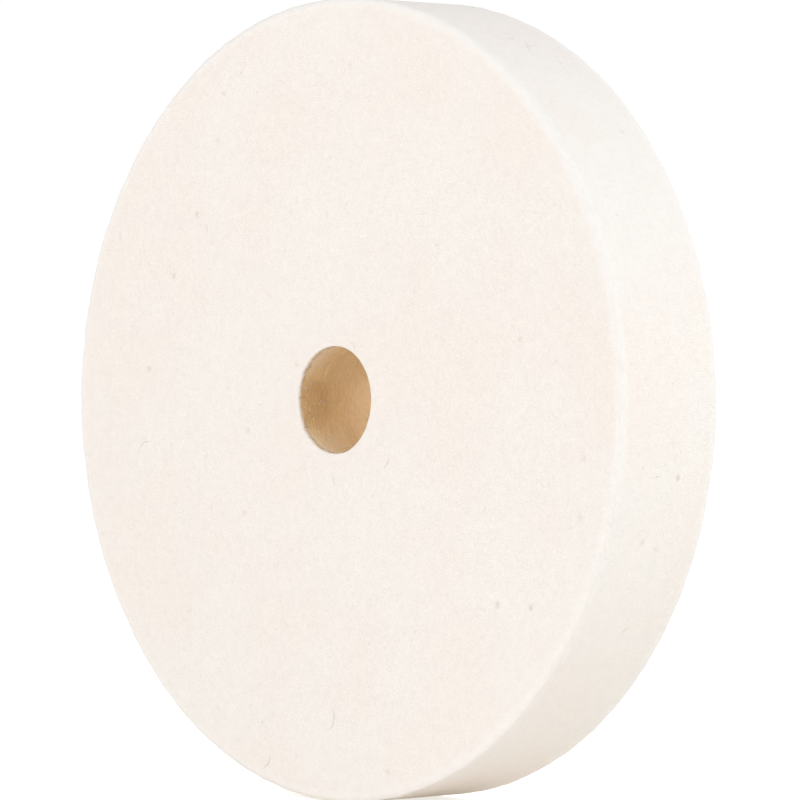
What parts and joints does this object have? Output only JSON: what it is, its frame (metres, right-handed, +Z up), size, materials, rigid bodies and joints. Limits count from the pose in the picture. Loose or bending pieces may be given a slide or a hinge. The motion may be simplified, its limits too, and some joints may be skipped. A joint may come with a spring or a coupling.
{
  "type": "felt polishing wheel",
  "caption": "Thick cream disc of hard pressed wool felt with a plain round arbor bore, for polishing stone, metal or glass on a bench grinder.",
  "frame": {"origin": "middle of the arbor bore, halfway between the two faces", "axes": "+Y along the wheel's spin axis, from the front face to the back face; +Z up, with the wheel upright on its arbor"},
  "size_m": [0.15, 0.025, 0.15],
  "materials": {
    "felt": "matt hard pressed wool felt, cream, finely mottled, with a few dark fibres and specks",
    "sleeve": "matt stiffened tan fibre with fine cut marks running around the bore"
  },
  "bodies": {
    "root": {"felt_disc": "felt", "bore_sleeve": "sleeve"}
  },
  "joints": []
}
